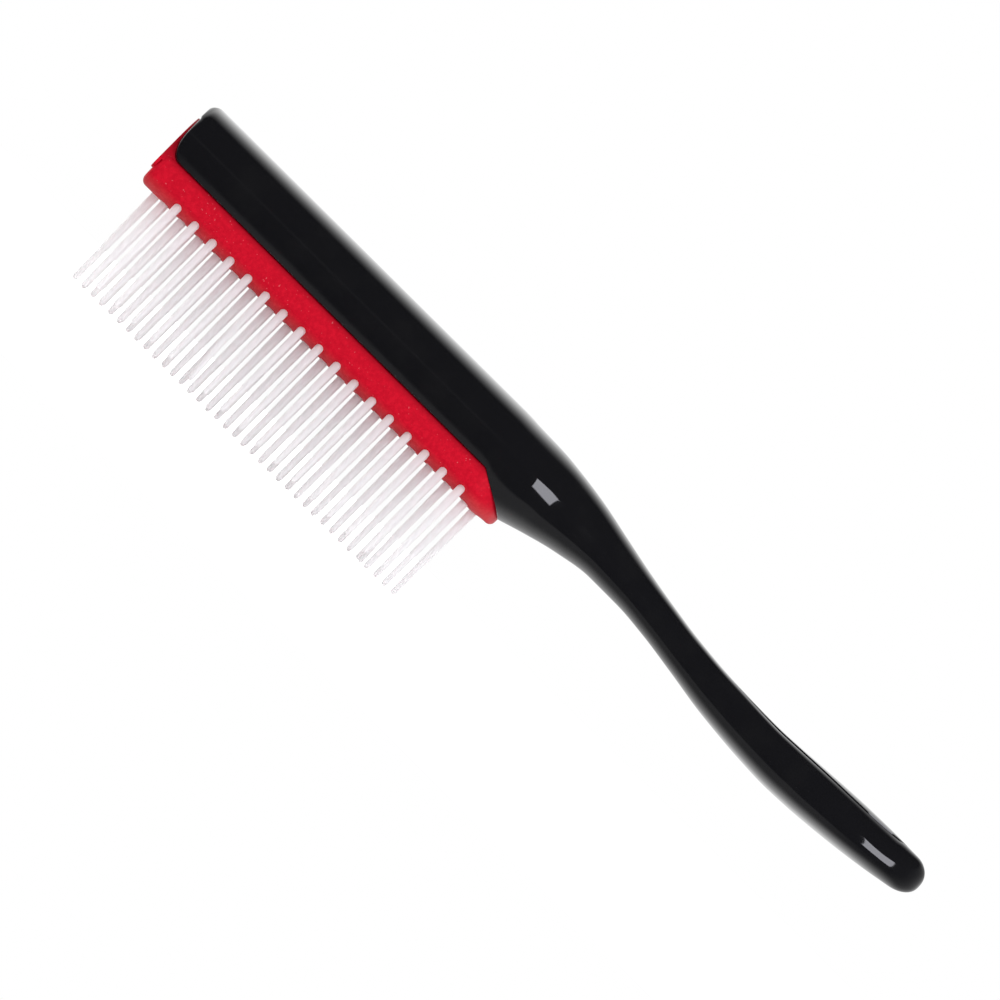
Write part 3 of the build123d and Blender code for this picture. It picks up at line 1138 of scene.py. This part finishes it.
def strip_mesh(row):
    y, lean, level = row_axis(row)
    bm = bmesh.new()
    for x in pin_places(row):
        seen = len(bm.verts)
        bm.from_mesh(one_pin)
        bm.verts.ensure_lookup_table()
        fresh = bm.verts[seen:]
        along, sideways = bend_of_pin()
        for vert in fresh:
            below = max(0.0, -vert.co.z / (pin_reach * MM)) ** 2
            vert.co += Vector((along, sideways, 0)) * below * MM
        leaning = Matrix.Translation(spot(x, y, level)) @ Matrix.Rotation(radians(lean), 4, "X")
        bmesh.ops.transform(bm, matrix=leaning, verts=fresh)
    start, end = backbone_ends(row)
    bar = block(start, end, backbone_width / 2, core_height - backbone_height, core_height,
                backbone_y(row))
    bm.from_mesh(bar)
    bpy.data.meshes.remove(bar)
    return tidy_mesh(bm, f"pin_strip_{row + 1}")


for row in range(rows):
    strip = show(strip_mesh(row), f"pin_strip_{row + 1}", nylon)
    seat_piece(strip, "pad", f"pin_row_{row + 1}")

# %% [markdown]
# ## The studio
#
# The brush stands on a pale floor under an even, plain light, which is stronger from behind, so
# that it shines through the inner pins. One upright soft box stands to the right of the camera:
# it models the forms, and its small bright mirror image in the gloss is what makes the plastic
# look polished. The floor and the world are white to the camera. In reflections they are white
# behind the brush and dark in front of it, as in a room where only the table is lit, because
# gloss black is shown by what it mirrors. Under the head, the mirrored floor lies in its shade.

# %% World
plain_light = 1.0               # from everywhere, on what isn't a mirror
back_light = 1.8                # and from behind the brush
low_glow = 0.29                 # mirrored from the half-lit strip in front of the brush
backdrop_glow = 1.3             # mirrored from the white behind the brush
overhead_dark = (0.5, 0.89)     # how far behind the mirrored white begins and is full, overhead
beside_dark = (-0.5, 0.64)      # and the same to the sides, where it comes round further
corner_shade = 0.6              # how much darker it is half way between overhead and sideways
side_turn = (0.05, 0.6)         # share of sideways where overhead passes over to the sides
back_light_turn = (-0.3, 0.8)   # how far behind the stronger light begins and is full
falloff = 1.4                   # of the mirrored white towards its edge


def light_kind(finish, name):
    return finish.add("LightPath").signal(name)


def seen_itself(finish):
    """1 for what the camera sees straight or through something clear, and not mirrored."""
    straight = light_kind(finish, "Is Camera Ray") + light_kind(finish, "Is Transmission Ray")
    return straight.at_most(1.0)


def make_world():
    world = bpy.data.worlds.new("studio")
    world.use_nodes = True
    bpy.context.scene.world = world
    finish = Finish(world.node_tree)
    across, behind, upright = finish.axes(finish.add("TexCoord").signal("Generated"))
    beside, above = across * across, upright * upright
    sideways = beside / (beside + above + 0.0001)  # never a division by nothing
    turned = sideways.step_up(*side_turn)
    start, full = (turned * (beside_dark[end] - overhead_dark[end]) + overhead_dark[end]
                   for end in (0, 1))
    aslant = sideways * (1 - sideways) * 4
    mirrored = behind.ramp_up(start, full) ** falloff * (1 - aslant * corner_shade)
    mirrored = mirrored * backdrop_glow
    plain = behind.step_up(*back_light_turn) * (back_light - plain_light) + plain_light
    level = plain + light_kind(finish, "Is Glossy Ray") * (mirrored - plain)
    strength = level + seen_itself(finish) * (1.0 - level)
    glow = finish.add("Background", {}, {"Color": (1, 1, 1, 1), "Strength": strength})
    finish.add("OutputWorld", {}, {"Surface": glow.signal(0)})


make_world()
print("world lit at", plain_light)

# %% Floor
head_shade = 0.3                # what is left of the mirrored floor in the head's shade
head_shade_x = (25.0, 65.0)     # where its shade ends
front_edge = (-60.0, -45.0)     # of the half-lit strip, across the brush
lit_edge = (-18.0, 10.0)        # where the white begins and is full
dimming = (20.0, 100.0)         # and where it starts and ends to sink again
lit_glow = 1.6
dimmed_by = 0.6
end_reach = 80.0                # past this, the mirrored floor fades as the world does there
end_blend = 50.0
middle_height = 32.0            # of the handle above the floor
floor_size = 2.5                # metres to each side
floor_lift = 0.6                # makes the paper white to the camera


def make_floor():
    material, finish = new_material("floor_white")
    along, behind, _ = finish.axes(finish.object_point())
    past_head = along.step_up(*in_metres(head_shade_x)) * (1 - head_shade) + head_shade
    bright = (behind.step_up(*in_metres(lit_edge)) * lit_glow
              - behind.step_up(*in_metres(dimming)) * dimmed_by)
    mirrored = behind.step_up(*in_metres(front_edge)) * low_glow + bright * past_head
    beyond = (along.maths("ABSOLUTE") - end_reach * MM).maths("MAXIMUM", 0.0)
    away = (behind * behind + beyond * beyond + 1e-8).maths("SQRT")
    slant = beyond * beyond / (beyond * beyond + (middle_height * MM) ** 2)
    round_end = (behind / away).ramp_up(*beside_dark) ** falloff * (
        1 - slant * (1 - slant) * 4 * corner_shade) * backdrop_glow
    mirrored = mirrored + (round_end - mirrored) * beyond.step_up(0.0, end_blend * MM)
    paper = finish.add("BsdfDiffuse", {}, {"Color": (0.8, 0.8, 0.8, 1)})
    lift = finish.add("Emission", {}, {
        "Color": (1, 1, 1, 1), "Strength": seen_itself(finish) * floor_lift})
    lit = finish.add("AddShader", {}, {0: paper.signal(0), 1: lift.signal(0)})
    mirror = finish.add("Emission", {}, {"Color": (1, 1, 1, 1), "Strength": mirrored})
    surface = finish.add("MixShader", {}, {
        0: light_kind(finish, "Is Glossy Ray"), 1: lit.signal(0), 2: mirror.signal(0)})
    finish.add("OutputMaterial", {}, {"Surface": surface.signal(0)})
    bm = bmesh.new()
    bmesh.ops.create_grid(bm, x_segments=1, y_segments=1, size=floor_size)
    floor = show(tidy_mesh(bm, "floor"), "floor", material)
    return floor


floor = make_floor()
print("floor laid at z = 0")

# %% Soft box
softbox_distance = 800.0
softbox_turn = 37.0             # degrees to the right of the camera's line
softbox_size = (280.0, 480.0)
softbox_height = 270.0          # of its middle, above the floor
softbox_glow = 7.0              # times white, which the gloss mirrors
softbox_colour = (0.92, 0.92, 1.0)


def make_softbox():
    lamp = bpy.data.lights.new("soft_box", "AREA")
    lamp.shape = "RECTANGLE"
    lamp.size, lamp.size_y = (side * MM for side in softbox_size)
    lamp.color = softbox_colour
    lamp.energy = pi * softbox_glow * lamp.size * lamp.size_y
    box = bpy.data.objects.new("soft_box", lamp)
    away = Vector((sin(radians(softbox_turn)), -cos(radians(softbox_turn)), 0))
    place = Vector((0, 0, softbox_height)) + away * softbox_distance
    facing = away.to_track_quat("Z", "Y").to_matrix().to_4x4()
    box.matrix_world = Matrix.Translation(place * MM) @ facing
    box.visible_camera = False
    bpy.context.scene.collection.objects.link(box)
    return box


softbox = make_softbox()
print("soft box at", [round(value, 2) for value in softbox.matrix_world.translation])

# %% [markdown]
# ## Finish
#
# The picture is shown as it is lit, with no film look.

# %% Finish
bpy.context.scene.view_settings.view_transform = "Standard"
